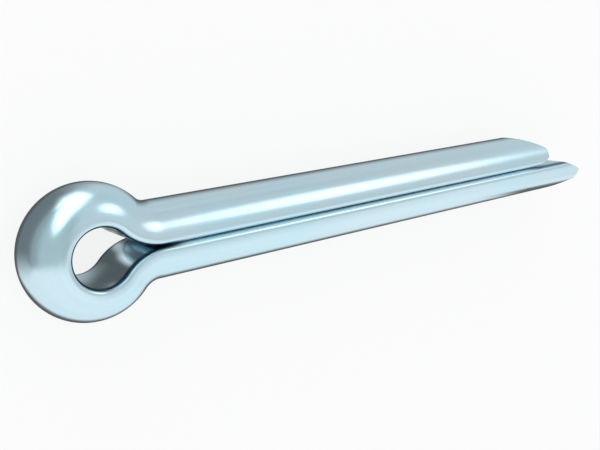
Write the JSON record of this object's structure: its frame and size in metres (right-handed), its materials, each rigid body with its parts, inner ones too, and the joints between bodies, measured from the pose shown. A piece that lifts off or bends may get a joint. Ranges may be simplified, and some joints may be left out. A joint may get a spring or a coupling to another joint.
{
  "type": "cotter pin",
  "caption": "Split cotter pin bent from half-round wire: a round eye, closed legs of unequal length with cut noses, lying flat.",
  "frame": {"origin": "middle of the eye's bore, on the axis of the shank", "axes": "+X along the shank from the eye to the leg ends, +Z along the bore of the eye and up as it lies, +Y from the long leg to the short leg"},
  "size_m": [0.0447, 0.0078, 0.0046],
  "materials": {
    "zinc_plate": "bright zinc plate, pale blue"
  },
  "bodies": {
    "root": {"cotter_pin": "zinc_plate"}
  },
  "joints": []
}
